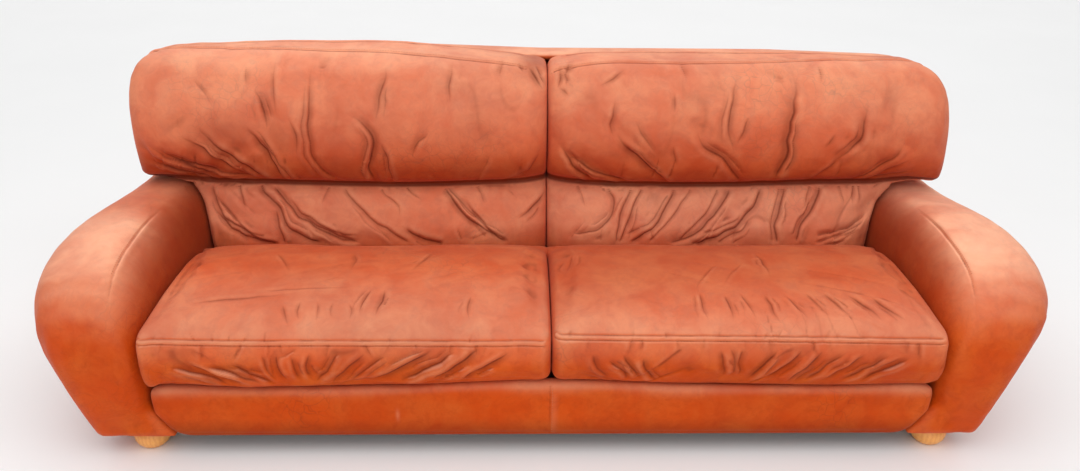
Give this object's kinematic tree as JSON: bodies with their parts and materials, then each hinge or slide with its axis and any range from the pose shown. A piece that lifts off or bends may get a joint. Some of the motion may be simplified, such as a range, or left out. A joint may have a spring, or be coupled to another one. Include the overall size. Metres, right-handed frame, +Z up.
{
  "type": "leather sofa",
  "caption": "Low wide three-seat sofa in worn tan leather, with padded arms that flare outwards, loose-looking back rolls over a gathered lumbar part, and turned bun feet.",
  "frame": {"origin": "on the floor, below the middle of the sofa's overall box", "axes": "the sofa faces -Y; +X runs to the right of someone who looks at its front; +Z is up"},
  "size_m": [2.2439, 0.89, 0.794],
  "materials": {
    "arm_leather": "smooth tan-rust leather with a satin sheen, lighter where it is worn",
    "seat_leather": "tan-rust leather, creased and rubbed pale along the front seam",
    "back_leather": "tan-rust leather, gathered, with dark creases",
    "beech": "clear-lacquered beech",
    "frame_timber": "raw sawn timber",
    "webbing": "woven elastic webbing",
    "dark_cloth": "black non-woven cloth",
    "bolt_steel": "zinc-plated"
  },
  "bodies": {
    "root": {"back_centre_panel": "frame_timber", "back_cover": "arm_leather", "back_left_panel": "frame_timber", "back_lower_rail": "frame_timber", "back_right_panel": "frame_timber", "back_strap_1": "webbing", "back_strap_2": "webbing", "back_strap_3": "webbing", "back_strap_4": "webbing", "back_strap_5": "webbing", "back_strap_6": "webbing", "back_top_rail": "frame_timber", "base_centre_stretcher": "frame_timber", "base_front_rail": "frame_timber", "base_left_rail": "frame_timber", "base_rear_rail": "frame_timber", "base_right_rail": "frame_timber", "base_seat_rear_rail": "frame_timber", "dust_cover": "dark_cloth", "front_left_foot": "beech", "front_left_foot_bolt": "bolt_steel", "front_rail_cover": "arm_leather", "front_right_foot": "beech", "front_right_foot_bolt": "bolt_steel", "left_arm": "arm_leather", "left_arm_bottom_rail": "frame_timber", "left_arm_front_bolt": "bolt_steel", "left_arm_front_post": "frame_timber", "left_arm_rear_bolt": "bolt_steel", "left_arm_rear_post": "frame_timber", "left_arm_top_rail": "frame_timber", "left_back_cushion": "back_leather", "left_seat_cushion": "seat_leather", "rear_left_foot": "beech", "rear_left_foot_bolt": "bolt_steel", "rear_right_foot": "beech", "rear_right_foot_bolt": "bolt_steel", "right_arm": "arm_leather", "right_arm_bottom_rail": "frame_timber", "right_arm_front_bolt": "bolt_steel", "right_arm_front_post": "frame_timber", "right_arm_rear_bolt": "bolt_steel", "right_arm_rear_post": "frame_timber", "right_arm_top_rail": "frame_timber", "right_back_cushion": "back_leather", "right_seat_cushion": "seat_leather", "seat_deck_cloth": "dark_cloth", "seat_strap_1": "webbing", "seat_strap_10": "webbing", "seat_strap_2": "webbing", "seat_strap_3": "webbing", "seat_strap_4": "webbing", "seat_strap_5": "webbing", "seat_strap_6": "webbing", "seat_strap_7": "webbing", "seat_strap_8": "webbing", "seat_strap_9": "webbing"}
  },
  "joints": []
}
